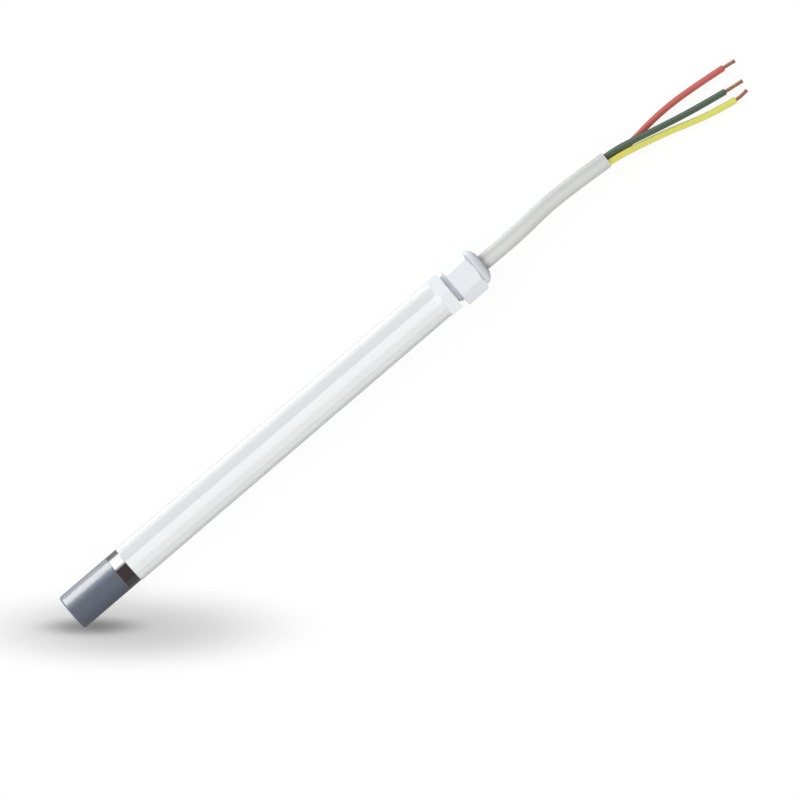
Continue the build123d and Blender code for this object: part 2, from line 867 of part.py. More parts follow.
core_routes = {
    "green": from_mouth(
        (58.83, 0.83, -3.98),
        (64.07, 0.61, -4.66),
        (72.1, -1.09, -4.72),
        (81.1, -3.47, -5.5),
        (90.3, -5.58, -6.3),
        (99.7, -7.45, -7.0),
        (108.7, -9.12, -7.4),
    ),
    "yellow": from_mouth(
        (58.74, -1.33, -3.98),
        (63.98, -1.55, -4.66),
        (72.6, -4.07, -5.6),
        (82.1, -6.78, -6.5),
        (92.0, -10.07, -7.15),
        (100.6, -12.6, -7.45),
        (109.5, -14.27, -7.53),
    ),
    "red": from_mouth(
        (58.54, -0.25, -5.85),
        (63.78, -0.47, -6.53),
        (72.0, 0.45, -7.38),
        (80.6, 0.62, -7.49),
        (90.1, 0.69, -7.52),
        (102.6, -0.22, -7.53),
        (113.5, -1.68, -7.54),
    ),
}

# The bared copper at the end of each core runs on for 5 to 7 mm

strand_routes = {
    "green": from_mouth((108.7, -9.12, -7.4), (110.67, -9.49, -7.49), (115.6, -10.0, -7.55)),
    "yellow": from_mouth((109.5, -14.27, -7.53), (111.47, -14.64, -7.55), (114.8, -14.1, -7.6)),
    "red": from_mouth((113.5, -1.68, -7.54), (115.48, -1.95, -7.54), (118.5, -2.25, -7.6)),
}
for colour, route in core_routes.items():
    with BuildPart() as core:
        core_length = wire(route, core_d)
    save(core, f"core_{colour}")
    report(f"core {colour}", route, core_d, core_length, core)
for colour, route in strand_routes.items():
    with BuildPart() as strands:
        strands_length = wire(route, strands_d)
    save(strands, f"strands_{colour}")
    report(f"strands {colour}", route, strands_d, strands_length, strands)
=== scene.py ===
# %% [markdown]
# # A pipe probe for temperature and humidity
# The probe is a white tube with a grey sintered filter at its tip and a cable gland at its
# other end. A short lead comes out of the gland and ends in three bared cores. The rigid
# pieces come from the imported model. This lesson gives them their finishes, builds the lead,
# and lights everything on a white ground.

import math

import bmesh
import bpy
from mathutils import Matrix, Vector


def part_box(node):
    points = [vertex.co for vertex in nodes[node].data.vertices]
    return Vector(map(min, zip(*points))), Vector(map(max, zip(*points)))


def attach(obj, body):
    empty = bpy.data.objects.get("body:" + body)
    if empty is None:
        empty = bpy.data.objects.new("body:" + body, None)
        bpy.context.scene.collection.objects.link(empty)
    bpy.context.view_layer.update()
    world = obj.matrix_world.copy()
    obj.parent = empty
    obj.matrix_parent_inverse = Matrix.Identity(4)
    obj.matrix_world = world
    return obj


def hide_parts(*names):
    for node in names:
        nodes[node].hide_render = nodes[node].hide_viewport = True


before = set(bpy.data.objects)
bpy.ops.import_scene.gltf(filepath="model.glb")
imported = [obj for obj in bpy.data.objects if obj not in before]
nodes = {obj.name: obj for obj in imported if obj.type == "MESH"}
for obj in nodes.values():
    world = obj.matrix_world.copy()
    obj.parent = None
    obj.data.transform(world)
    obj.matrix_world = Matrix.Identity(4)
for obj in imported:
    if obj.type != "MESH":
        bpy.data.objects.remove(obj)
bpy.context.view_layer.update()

# %% [markdown]
# ## The measures that the pieces share
# Everything is in metres, in the model's own frame. The stem lies along +X. A station is a
# distance along the stem from the filter's tip, as a turner would mark it on the workpiece,
# so each place on the stem is easy to name. The stations come from the nodes' own boxes.

# %% Stations along the stem
mm = 0.001
tip_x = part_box("filter_cup")[0].x
mouth_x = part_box("gland_nut")[1].x
tube_low, tube_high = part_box("probe_tube")
axis_z = (tube_low.z + tube_high.z) / 2
stem_mm = (mouth_x - tip_x) / mm


def on_stem(station):
    """The point on the stem's axis at a station in millimetres."""
    return Vector((tip_x + station * mm, 0, axis_z))


print("the stem is", round(stem_mm, 1), "mm long, its axis at", round(axis_z / mm, 2))

# %% [markdown]
# ## The camera
# The photograph was taken with a long lens, so the tube's edges run parallel. The camera looks
# down at the lying probe, 15 degrees off the vertical, and is rolled so that the stem rises
# from the lower left to the upper right. Its three axes are built from the stem's direction
# and the direction to the camera, which is easier to check than three rotation angles.

# %% Camera
stem_rise = math.radians(40.56)
off_vertical = math.radians(15)
lens_mm = 250
sensor_mm = 36
view_width = 294.1 * mm
middle_station = 142.5
middle_aside = 18.9 * mm
along = Vector((1, 0, 0))
to_camera = Vector((0, -math.sin(off_vertical), math.cos(off_vertical)))
across = along.cross(to_camera)
picture_right = math.cos(stem_rise) * along + math.sin(stem_rise) * across
picture_up = math.sin(stem_rise) * along - math.cos(stem_rise) * across
picture_middle = on_stem(middle_station) + middle_aside * across

camera_data = bpy.data.cameras.new("camera")
camera_data.lens = lens_mm
camera_data.sensor_width = sensor_mm
camera = bpy.data.objects.new("camera", camera_data)
bpy.context.scene.collection.objects.link(camera)
camera_distance = view_width * lens_mm / sensor_mm
turned = Matrix((picture_right, picture_up, to_camera)).transposed().to_4x4()
camera.matrix_world = Matrix.Translation(picture_middle + camera_distance * to_camera) @ turned
bpy.context.scene.camera = camera
print("the camera stands", round(camera_distance, 3), "m away")

# %% [markdown]
# ## The lead and its cores
# The lead is a jacket of 6.2 mm that sinks from the gland to the table, and three cores of
# 2.4 mm that spread out beyond it. It could be dropped by a simulation, but the photograph
# shows how it lies from end to end, so its lines are a few given points. They are
# measured from the mouth of the gland: along the stem, across it and up. They keep within a
# millimetre of the model's own tubes.

# %% Routes, in millimetres from the gland's mouth
hidden_mm = 20.4
routes = {
    "cable_jacket": [
        (-hidden_mm, 0, 0),
        (4.6, -0.5, 0),
        (18.0, -0.35, -0.45),
        (31.0, 0.95, -1.3),
        (45.6, 0.8, -2.9),
        (59.2, 0.12, -4.65),
    ],
    "core_green": [
        (58.83, 1.06, -3.96),
        (64.07, 0.84, -4.62),
        (72.1, -1.12, -4.72),
        (81.1, -3.27, -5.5),
        (90.3, -5.38, -6.3),
        (99.7, -7.22, -7.0),
        (109.1, -8.87, -7.4),
    ],
    "core_yellow": [
        (58.74, -1.53, -4.0),
        (63.98, -1.9, -4.7),
        (72.6, -3.84, -5.6),
        (82.1, -6.22, -6.5),
        (92.0, -9.43, -7.15),
        (100.6, -12.06, -7.45),
        (110.0, -13.84, -7.53),
    ],
    "core_red": [
        (58.54, -0.25, -6.0),
        (63.78, -0.55, -6.75),
        (72.0, -0.15, -7.4),
        (80.6, 0.86, -7.49),
        (90.1, 1.14, -7.52),
        (102.6, 0.13, -7.53),
        (114.4, -1.48, -7.54),
    ],
    "strands_green": [(109.1, -8.87, -7.4), (111.07, -9.22, -7.49), (116.4, -9.95, -7.55)],
    "strands_yellow": [(110.0, -13.84, -7.53), (111.97, -14.2, -7.55), (115.3, -13.75, -7.6)],
    "strands_red": [(114.4, -1.48, -7.54), (116.38, -1.75, -7.54), (119.2, -2.2, -7.6)],
}
mouth = Vector((mouth_x, 0, axis_z))
routes = {
    name: [mouth + mm * Vector(place) for place in places]
    for name, places in routes.items()
}
print({name: len(places) for name, places in routes.items()}, "points")

# %% [markdown]
# ## One smooth line with a round section
# Insulated wire bends evenly and never kinks. A sweep of mesh rings would need a great many
# of them to look as smooth, so each cord is one NURBS curve with a round bevel. The bevel is
# 1 deep, and the radius at each point gives the real one.

# %% A cord as a curve
jacket_d = 6.2 * mm
core_d = 2.4 * mm
strands_d = 1.35 * mm


def cord_curve(name, route, diameter):
    """One open NURBS spline along a route, with a round section and closed ends."""
    curve = bpy.data.curves.new(name, "CURVE")
    curve.dimensions = "3D"
    spline = curve.splines.new("NURBS")
    spline.points.add(len(route) - 1)
    for point, place in zip(spline.points, route):
        point.co = (*place, 1)
        point.radius = diameter / 2
    spline.order_u = 3
    spline.use_endpoint_u = True
    spline.resolution_u = 16
    curve.bevel_depth = 1
    curve.bevel_resolution = 6
    curve.use_fill_caps = True
    cord = bpy.data.objects.new(name, curve)
    bpy.context.scene.collection.objects.link(cord)
    return cord


diameters = [round(size / mm, 2) for size in (jacket_d, core_d, strands_d)]
print("jacket, cores and bared ends are", diameters, "mm across")

# %% Jacket and cores
colours = ["green", "yellow", "red"]


def line_of(cord):
    """The points of a cord's own line, read from the curve with its bevel taken off."""
    bare = cord.data.copy()
    bare.bevel_depth = 0
    holder = bpy.data.objects.new("line", bare)
    mesh = bpy.data.meshes.new_from_object(holder)
    points = [vertex.co.copy() for vertex in mesh.vertices]
    bpy.data.meshes.remove(mesh)
    bpy.data.objects.remove(holder)
    return points


def line_length(points):
    """The length of a line through points."""
    return sum((after - before).length for before, after in zip(points, points[1:]))


jacket = cord_curve("lead_jacket", routes["cable_jacket"], jacket_d)
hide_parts("cable_jacket")
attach(jacket, "probe")
cores = {}
for colour in colours:
    core = cord_curve(f"lead_core_{colour}", routes[f"core_{colour}"], core_d)
    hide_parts(f"core_{colour}")
    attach(core, "probe")
    cores[colour] = core
for cord in (jacket, *cores.values()):
    print(cord.name, round(line_length(line_of(cord)) / mm, 1), "mm long")

# %% [markdown]
# ## The bared strands
# A 0.75 mm2 core holds fine copper wires, twisted together. Seen close up, the twist is what
# tells copper strands from a solid wire. A ring of wires is therefore wound round each bared
# end: at every step along the line, the wires' places turn a little further about it. A
# filler in their middle closes the bundle. The wires spread slightly at the tip, as they do
# after stripping.

# %% Rings along a line


def even_points(points, count):
    """The same line with evenly spaced points."""
    whole = line_length(points)
    result = []
    for step in range(count):
        goal = whole * step / (count - 1)
        for before, after in zip(points, points[1:]):
            run = (after - before).length
            if goal <= run or after is points[-1]:
                result.append(before.lerp(after, min(goal / run, 1)))
                break
            goal -= run
    return result


def ring_of(bm, middle, side, rise, radius, sides):
    """One ring of vertices round a point."""
    ring = []
    for index in range(sides):
        turn = 2 * math.pi * index / sides
        outward = math.cos(turn) * side + math.sin(turn) * rise
        ring.append(bm.verts.new(middle + radius * outward))
    return ring


def join_rings(bm, first, second):
    """Faces between two rings of vertices."""
    for index in range(len(first)):
        following = (index + 1) % len(first)
        bm.faces.new((first[index], first[following], second[following], second[index]))


def join_all(bm, rings):
    """A closed skin over rings, with a face at each end."""
    for first, second in zip(rings, rings[1:]):
        join_rings(bm, first, second)
    bm.faces.new(rings[0])
    bm.faces.new(rings[-1])


def mesh_piece(name, bm, smooth=True):
    """Turn a bmesh into a linked object."""
    bmesh.ops.recalc_face_normals(bm, faces=bm.faces)
    mesh = bpy.data.meshes.new(name)
    bm.to_mesh(mesh)
    bm.free()
    for face in mesh.polygons:
        face.use_smooth = smooth
    piece = bpy.data.objects.new(name, mesh)
    bpy.context.scene.collection.objects.link(piece)
    return piece


test_line = [Vector((0, 0, 0)), Vector((1, 0, 0))]
print("even points on a short line:", [point.x for point in even_points(test_line, 5)])

# %% Twisted strands
wire_count = 11
wire_r = 0.19 * mm
wire_sides = 8
filler_r = strands_d / 2 - 1.4 * wire_r
lay_length = 6.5 * mm
bundle_steps = 36
flare = 0.1
flare_from = 0.75
uneven_ends = 0.12 * mm
golden_angle = 2.4


def strand_bundle(name, line):
    """Fine wires wound round a line, with a filler in their middle."""
    bm = bmesh.new()
    points = even_points(line, bundle_steps)
    whole = line_length(points)
    last = bundle_steps - 1
    for wire in range(wire_count + 1):
        is_filler = wire == wire_count
        radius = filler_r if is_filler else wire_r
        rings = []
        for step, point in enumerate(points):
            ahead = (points[min(step + 1, last)] - points[max(step - 1, 0)]).normalized()
            side = ahead.cross(Vector((0, 0, 1))).normalized()
            rise = side.cross(ahead)
            share = step / last
            spread = 1 + flare * max(0, share - flare_from) / (1 - flare_from)
            reach = 0 if is_filler else (strands_d / 2 - wire_r) * spread
            turn = 2 * math.pi * (wire / wire_count + share * whole / lay_length)
            place = point + reach * (math.cos(turn) * side + math.sin(turn) * rise)
            end_shift = uneven_ends * math.sin(wire * golden_angle) if step == last else 0
            rings.append(ring_of(bm, place + end_shift * ahead, side, rise, radius, wire_sides))
        join_all(bm, rings)
    return mesh_piece(name, bm)


strands = {}
for colour in colours:
    guide = cord_curve(f"guide_{colour}", routes[f"strands_{colour}"], strands_d)
    bundle = strand_bundle(f"bare_strands_{colour}", line_of(guide))
    bpy.data.objects.remove(guide)
    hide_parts(f"strands_{colour}")
    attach(bundle, "probe")
    strands[colour] = bundle
    print(bundle.name, len(bundle.data.polygons), "faces")

# %% [markdown]
# ## How much of the lead shows
# The jacket leaves the gland, and part of its line is hidden inside it. Each core leaves the
# jacket's cut end and carries its own bared strands. What shows of the jacket is its line less
# the hidden part.

for colour in colours:
    core_line = line_of(cores[colour])
shown_mm = line_length(line_of(jacket)) / mm - hidden_mm
print("the lead shows", round(shown_mm, 1), "mm of jacket")

# %% [markdown]
# ## The thread at the neck
# Between the gland's two hexagons a turn of its thread shows. The model's neck is plain, so
# one ridge is wound on it here as a helix with a pointed section. It fades out at both ends,
# the way a cut thread runs out, and stops short of the nut, which turns past it.

# %% Thread ridge
neck_r = 6.0 * mm
crest_r = 6.3 * mm
foot_r = neck_r - 0.15 * mm
ridge_start = 183.45
ridge_end = 184.35
ridge_half_w = 0.34 * mm
crest_share = 0.3
ridge_steps = 96
run_out = 0.125


def thread_ridge(name, start, end):
    """A pointed ridge wound once round the stem, from one station to another."""
    bm = bmesh.new()
    rows = []
    for step in range(ridge_steps + 1):
        share = step / ridge_steps
        turn = 2 * math.pi * share
        out = Vector((0, math.cos(turn), math.sin(turn)))
        middle = on_stem(start + (end - start) * share)
        fade = min(1, share / run_out, (1 - share) / run_out)
        crest = foot_r + (crest_r - foot_r) * fade
        corners = [(-1, foot_r), (-crest_share, crest), (crest_share, crest), (1, foot_r)]
        row = []
        for aside, radius in corners:
            row.append(bm.verts.new(middle + aside * ridge_half_w * along + radius * out))
        rows.append(row)
    join_all(bm, rows)
    return mesh_piece(name, bm)


neck_thread = thread_ridge("neck_thread", ridge_start, ridge_end)
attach(neck_thread, "probe")
print("thread ridge:", len(neck_thread.data.polygons), "faces")

# %% [markdown]
# ## Grain, as a node group
# Moulded, extruded and turned surfaces differ in the direction and depth of their fine grain.
# It could be painted on each piece, but one node group makes them all: noise, stretched along
# the stem or left even, becomes a mask and a bumped normal.

# %% Grain group


def new_group(name, inputs, outputs):
    """An empty shader node group with its sockets."""
    group = bpy.data.node_groups.new(name, "ShaderNodeTree")
    for label, kind, value in inputs:
        socket = group.interface.new_socket(label, in_out="INPUT", socket_type=kind)
        socket.default_value = value
    for label, kind in outputs:
        group.interface.new_socket(label, in_out="OUTPUT", socket_type=kind)
    return group, group.nodes.new("NodeGroupInput"), group.nodes.new("NodeGroupOutput")


def add_node(tree, kind, operation=None, **values):
    """A shader node of a kind, with its operation and the values of its named sockets."""
    node = tree.nodes.new("ShaderNode" + kind)
    if operation:
        node.operation = operation
    for label, value in values.items():
        node.inputs[label.replace("_", " ")].default_value = value
    return node


grain, entry, result = new_group(
    "grain",
    [
        ("Stretch", "NodeSocketVector", (1, 1, 1)),
        ("Size", "NodeSocketFloat", 3000),
        ("Depth", "NodeSocketFloat", 0.2),
    ],
    [("Mask", "NodeSocketFloat"), ("Normal", "NodeSocketVector")],
)
place = add_node(grain, "TexCoord")
stretched = add_node(grain, "VectorMath", "MULTIPLY")
noise = add_node(grain, "TexNoise", Detail=3)
bump = add_node(grain, "Bump", Distance=0.05 * mm)
grain.links.new(place.outputs["Object"], stretched.inputs[0])
grain.links.new(entry.outputs["Stretch"], stretched.inputs[1])
grain.links.new(stretched.outputs[0], noise.inputs["Vector"])
grain.links.new(entry.outputs["Size"], noise.inputs["Scale"])
grain.links.new(noise.outputs["Fac"], bump.inputs["Height"])
grain.links.new(entry.outputs["Depth"], bump.inputs["Strength"])
grain.links.new(noise.outputs["Fac"], result.inputs["Mask"])
grain.links.new(bump.outputs["Normal"], result.inputs["Normal"])
print("group:", grain.name, "with", len(grain.nodes), "nodes")

# %% [markdown]
# ## Patches, as a node group
# No real surface has exactly one colour. A second group blends two close shades in soft
# patches, which is simpler than a painted map and has no seams.

# %% Patches group
patches, entry, result = new_group(
    "patches",
    [
        ("First", "NodeSocketColor", (0.8, 0.8, 0.8, 1)),
        ("Second", "NodeSocketColor", (0.7, 0.7, 0.7, 1)),
        ("Size", "NodeSocketFloat", 120),
    ],
    [("Colour", "NodeSocketColor"), ("Mask", "NodeSocketFloat")],
)
place = add_node(patches, "TexCoord")
noise = add_node(patches, "TexNoise", Detail=4)
blend = add_node(patches, "Mix")
blend.data_type = "RGBA"
patches.links.new(place.outputs["Object"], noise.inputs["Vector"])
patches.links.new(entry.outputs["Size"], noise.inputs["Scale"])
patches.links.new(noise.outputs["Fac"], blend.inputs["Factor"])
patches.links.new(entry.outputs["First"], blend.inputs[6])
patches.links.new(entry.outputs["Second"], blend.inputs[7])
patches.links.new(blend.outputs[2], result.inputs["Colour"])
patches.links.new(noise.outputs["Fac"], result.inputs["Mask"])
print("group:", patches.name, "with", len(patches.nodes), "nodes")

# %% [markdown]
# ## A finish in one call
# Each finish is a Principled BSDF. The two groups feed its colour and its normal, and a range
# node turns the grain's mask into a small change of roughness. Values that are the same all
# over the surface, such as metallic, are set on the shader itself.

# %% A finish
noise_low = 0.3
noise_high = 0.7


def srgb(red, green, blue):
    """A colour given as 0 to 255 on the screen, as the shader needs it."""
    linear = []
    for value in (red, green, blue):
        share = value / 255
        linear.append(share / 12.92 if share <= 0.04045 else ((share + 0.055) / 1.055) ** 2.4)
    return (*linear, 1)


def finish(
    name, first, second, rough, size=3000, depth=0.1, stretch=(1, 1, 1), patch=120, **fixed
):
    """A material with patchy colour, grain in its normal, and a range of roughness."""
    material = bpy.data.materials.new(name)
    material.use_nodes = True
    tree = material.node_tree
    shader = tree.nodes["Principled BSDF"]
    tone = add_node(tree, "Group")
    tone.node_tree = patches
    tone.inputs["First"].default_value = first
    tone.inputs["Second"].default_value = second
    tone.inputs["Size"].default_value = patch
    texture = add_node(tree, "Group")
    texture.node_tree = grain
    texture.inputs["Stretch"].default_value = stretch
    texture.inputs["Size"].default_value = size
    texture.inputs["Depth"].default_value = depth
    spread = add_node(tree, "MapRange", From_Min=noise_low, From_Max=noise_high)
    spread.inputs["To Min"].default_value = rough[0]
    spread.inputs["To Max"].default_value = rough[1]
    tree.links.new(tone.outputs["Colour"], shader.inputs["Base Color"])
    tree.links.new(texture.outputs["Mask"], spread.inputs["Value"])
    tree.links.new(spread.outputs["Result"], shader.inputs["Roughness"])
    tree.links.new(texture.outputs["Normal"], shader.inputs["Normal"])
    for label, value in fixed.items():
        shader.inputs[label.replace("_", " ")].default_value = value
    return material


def dress(material, *pieces):
    """Give a material to nodes, by name, or to pieces."""
    for piece in pieces:
        shown = nodes[piece] if isinstance(piece, str) else piece
        shown.data.materials.clear()
        shown.data.materials.append(material)
    print(material.name, "goes on", len(pieces), "of the pieces")


print("middle grey on the screen is", round(srgb(128, 128, 128)[0], 3), "to the shader")

# %% [markdown]
# ## Painted shade in the hollows
# Some hollows get little light: the root of the gland's neck, the nut's mouth, and the lead's
# first millimetres inside it. The soft light alone leaves them too pale, so shade is painted
# into a finish's colour near a line or a plane. The shade fades out with the distance from it,
# measured in chosen directions, and it belongs to the surface, so it stays in place from every
# side.

# %% Shade near a line or a plane
from_axis = (0, 1, 1)


def shade_near(material, origin, directions, inner, outer, shade):
    """Multiply a finish's colour by a painted shade near an origin, measured in some directions.
    """
    tree = material.node_tree
    shader = tree.nodes["Principled BSDF"]
    tone = shader.inputs["Base Color"].links[0].from_socket
    place = add_node(tree, "TexCoord")
    moved = add_node(tree, "VectorMath", "SUBTRACT")
    moved.inputs[1].default_value = origin
    chosen = add_node(tree, "VectorMath", "MULTIPLY")
    chosen.inputs[1].default_value = directions
    reach = add_node(tree, "VectorMath", "LENGTH")
    fade = add_node(tree, "MapRange", From_Min=inner, From_Max=outer, To_Min=shade, To_Max=1)
    fade.interpolation_type = "SMOOTHSTEP"
    dimmed = add_node(tree, "VectorMath", "SCALE")
    tree.links.new(place.outputs["Object"], moved.inputs[0])
    tree.links.new(moved.outputs[0], chosen.inputs[0])
    tree.links.new(chosen.outputs[0], reach.inputs[0])
    tree.links.new(reach.outputs["Value"], fade.inputs["Value"])
    tree.links.new(tone, dimmed.inputs[0])
    tree.links.new(fade.outputs["Result"], dimmed.inputs["Scale"])
    tree.links.new(dimmed.outputs[0], shader.inputs["Base Color"])
    print(material.name, "is shaded to", shade, "and clear", round(outer / mm, 1), "mm off")


print("a shade round the stem's axis is measured in the directions", from_axis)

# %% [markdown]
# ## White plastic
# The tube is extruded and glossy, so its grain runs along it and is very shallow. The gland
# is moulded in a duller plastic, and its nut is a little duller still. Both carry painted shade
# towards the stem's axis: the body down in the gap behind the nut, and the nut round the lead,
# where its dome turns in.

# %% Tube and gland
tube_white = finish(
    "tube_white",
    srgb(228, 232, 233),
    srgb(226, 230, 232),
    (0.06, 0.10),
    size=900,
    depth=0.02,
    stretch=(0.05, 1, 1),
)
gland_white = finish(
    "gland_white",
    srgb(242, 246, 251),
    srgb(239, 243, 248),
    (0.38, 0.46),
    size=2500,
    depth=0.05,
    Specular_IOR_Level=0.3,
)
nut_white = finish(
    "nut_white",
    srgb(239, 243, 248),
    srgb(236, 240, 245),
    (0.44, 0.52),
    size=2500,
    depth=0.05,
    Specular_IOR_Level=0.2,
)
# Painted shade towards the axis, in the gap behind the nut and round the nut's mouth.
shade_near(gland_white, (0, 0, axis_z), from_axis, 6.4 * mm, 7.4 * mm, 0.78)
shade_near(nut_white, (0, 0, axis_z), from_axis, 3.2 * mm, 7.2 * mm, 0.52)
dress(tube_white, "probe_tube")
dress(gland_white, "gland_body", neck_thread)
dress(nut_white, "gland_nut")

# %% [markdown]
# ## The sintered filter
# The cup is metal powder, pressed and fired until its grains join, which leaves a fine grey
# surface with a soft sheen. The grains are too small to model, so a fine and fairly deep grain
# in the normal stands for them. Painted shade darkens the near side, where less light falls.

# %% Filter
sintered = finish(
    "sintered",
    srgb(113, 120, 136),
    srgb(103, 110, 126),
    (0.2, 0.26),
    size=5200,
    depth=0.6,
    patch=900,
    IOR=1.72,
)
# The line along the near flank, where the painted shade is darkest.
near_flank = (0, -8.5 * mm, axis_z - 1 * mm)
shade_near(sintered, near_flank, from_axis, 3 * mm, 10 * mm, 0.7)
dress(sintered, "filter_cup")

# %% [markdown]
# ## The plated ring
# The ring is turned and brightly plated, so what it shows is mostly what lies round it. A
# plain metal with little roughness does that, and its light and dark come from the sky and
# the ground. Its faint grain runs round it, as a lathe leaves it.

# %% Ring
plated = finish(
    "plated",
    srgb(230, 230, 229),
    srgb(220, 220, 219),
    (0.05, 0.11),
    size=1500,
    depth=0.02,
    stretch=(6, 0.3, 0.3),
    Metallic=1.0,
)
dress(plated, "filter_ring")

# %% [markdown]
# ## The lead
# The jacket is matt grey, with painted shade where it comes out of the nut. The cores'
# insulation is smoother and shines a little. The wires inside the tube are the same cores, so
# they get the same finishes. The bared copper has dulled since it was stripped: as a full metal
# it would only mirror the dark round it, so it is less than half metallic.

# %% Jacket
jacket_finish = finish(
    "jacket",
    srgb(213, 215, 214),
    srgb(208, 210, 209),
    (0.4, 0.5),
    size=1800,
    depth=0.1,
    stretch=(0.2, 1, 1),
    Specular_IOR_Level=0.33,
)
# Painted shade on the jacket's first millimetres out of the nut.
shade_near(jacket_finish, (mouth_x, 0, 0), (1, 0, 0), 0, 2.6 * mm, 0.6)
dress(jacket_finish, jacket)

# %% Insulation and copper
core_tones = {"red": (216, 108, 100), "green": (90, 112, 95), "yellow": (241, 239, 116)}
patch_shade = 0.93
for colour, tone in core_tones.items():
    darker = [value * patch_shade for value in tone]
    insulation = finish(
        f"insulation_{colour}",
        srgb(*tone),
        srgb(*darker),
        (0.22, 0.32),
        size=2200,
        depth=0.08,
        stretch=(0.3, 1, 1),
    )
    dress(insulation, cores[colour], f"inner_wire_{colour}")
copper = finish(
    "copper",
    srgb(206, 150, 120),
    srgb(184, 126, 98),
    (0.3, 0.42),
    size=4000,
    depth=0.1,
    patch=700,
    Metallic=0.4,
)
dress(copper, *strands.values())

# %% [markdown]
# ## The seals, the plug and the potting
# The pieces inside show when the filter is pulled off, and in cut-away views. Each gets a
# plain finish of its own material. The seals are matt rubber, the plug and the saddles dark
# moulded plastic, and the potting is a resin that sets with a glossy skin.

# %% Seals, plug and potting
rubber = finish("rubber", srgb(38, 38, 39), srgb(32, 32, 33), (0.5, 0.65), size=2500, depth=0.2)
dress(rubber, "front_gasket", "plug_seal", "gland_o_ring", "gland_seal")
dark_plastic = finish("dark_plastic", srgb(66, 66, 69), srgb(58, 58, 61), (0.35, 0.5))
dress(dark_plastic, "sensor_plug", "board_saddle_front", "board_saddle_rear")
resin = finish("resin", srgb(40, 40, 43), srgb(34, 34, 37), (0.08, 0.2), size=400, depth=0.2)
dress(resin, "potting")

# %% [markdown]
# ## The boards and what stands on them
# The boards are green laminate. The humidity sensor has a pale body, and the thermistor and
# the chips are brown ceramic. The black parts are moulded, the buffer capacitors stand in
# metal cans, and the contacts and the screws are tinned.

# %% Boards and sensors
laminate = finish(
    "laminate", srgb(24, 98, 62), srgb(20, 86, 54), (0.2, 0.32), size=1200, depth=0.2
)
dress(laminate, "sensor_board", "main_board")
sensor_body = finish("sensor_body", srgb(224, 222, 214), srgb(214, 212, 204), (0.35, 0.5))
dress(sensor_body, "humidity_element")
ceramic = finish("ceramic", srgb(150, 132, 110), srgb(134, 116, 96), (0.4, 0.55), patch=600)
dress(ceramic, "temperature_element", "chip_components")

# %% Parts on the board
black_plastic = finish(
    "black_plastic", srgb(44, 44, 47), srgb(38, 38, 41), (0.35, 0.5), depth=0.2
)
moulded_parts = ["board_socket", "signal_amplifier", "processor", "power_inductor"]
dress(black_plastic, *moulded_parts, "voltage_regulator")
can = finish("can", srgb(206, 208, 212), srgb(192, 194, 199), (0.2, 0.3), Metallic=1.0)
dress(can, "buffer_capacitors")
terminal_green = finish("terminal_green", srgb(36, 132, 78), srgb(30, 118, 70), (0.35, 0.45))
dress(terminal_green, "terminal_block")
tin = finish(
    "tin", srgb(214, 211, 202), srgb(198, 195, 187), (0.2, 0.35), patch=900, Metallic=1.0
)
dress(tin, "socket_contacts", "terminal_screws")
print(len(bpy.data.materials), "materials")

# %% [markdown]
# ## The ground
# The probe rests on its filter's rim and on the corners of its hexagons, so the table is a
# plane through those points. It rises a little towards the tip, because the filter is slimmer
# than the hexagons.

# %% Table
flange_station = 180
rise_to_tip = 1.34
table_slope = -rise_to_tip / flange_station
half_side = 3
bm = bmesh.new()
for x, y in ((-1, -1), (1, -1), (1, 1), (-1, 1)):
    level = table_slope * (half_side * x - on_stem(flange_station).x)
    bm.verts.new((half_side * x, half_side * y, level))
bm.faces.new(bm.verts)
table = mesh_piece("table", bm, smooth=False)
print("the table falls", round(-table_slope * 1000, 2), "mm in a metre")

# %% [markdown]
# ## The table's finish
# For the camera the table is nearly white and keeps a soft shadow, which two soft ovals of
# painted shadow deepen under the tip. For reflections it is dark, and darker on the near side,
# which gives the plated ring its dark edge. A light path node tells the two apart, so the table
# can look white without white showing in the metal.

# %% What each ray sees of the table
near_tone = 0.08
far_tone = 0.26
tone_reach = 20 * mm
glow_share = 0.85
table_white = bpy.data.materials.new("table_white")
table_white.use_nodes = True
tree = table_white.node_tree
tree.nodes.remove(tree.nodes["Principled BSDF"])
output = tree.nodes["Material Output"]
paths = add_node(tree, "LightPath")
matt = add_node(tree, "BsdfDiffuse", Color=(0.92, 0.92, 0.92, 1))
glow = add_node(tree, "Emission")
dim = add_node(tree, "Emission")
place = add_node(tree, "TexCoord")
split = add_node(tree, "SeparateXYZ")
far_side = add_node(tree, "MapRange", From_Min=-tone_reach, From_Max=tone_reach)
far_side.inputs["To Min"].default_value = near_tone
far_side.inputs["To Max"].default_value = far_tone
tree.links.new(place.outputs["Object"], split.inputs[0])
tree.links.new(split.outputs["Y"], far_side.inputs["Value"])
tree.links.new(far_side.outputs["Result"], dim.inputs["Color"])
camera_share = add_node(tree, "Math", "MULTIPLY")
camera_share.inputs[1].default_value = glow_share
print("table reflects", near_tone, "on the near side and", far_tone, "on the far side")

# %% Painted shadow ovals under the tip
oval_gain = 1.04


def shade_at(x, y, half_length, half_width, darkest):
    """A soft oval of painted shadow on the table: 1 outside it, the darkest value in its middle.
    """
    moved = add_node(tree, "Mapping")
    moved.vector_type = "TEXTURE"
    moved.inputs["Location"].default_value = (x * mm, y * mm, 0)
    moved.inputs["Rotation"].default_value = (0, 0, -stem_rise)
    moved.inputs["Scale"].default_value = (half_length * mm, half_width * mm, 1)
    reach = add_node(tree, "VectorMath", "LENGTH")
    oval = add_node(tree, "MapRange", To_Min=darkest, To_Max=1)
    oval.interpolation_type = "SMOOTHERSTEP"
    tree.links.new(place.outputs["Object"], moved.inputs["Vector"])
    tree.links.new(moved.outputs[0], reach.inputs[0])
    tree.links.new(reach.outputs["Value"], oval.inputs["Value"])
    return oval.outputs["Result"]
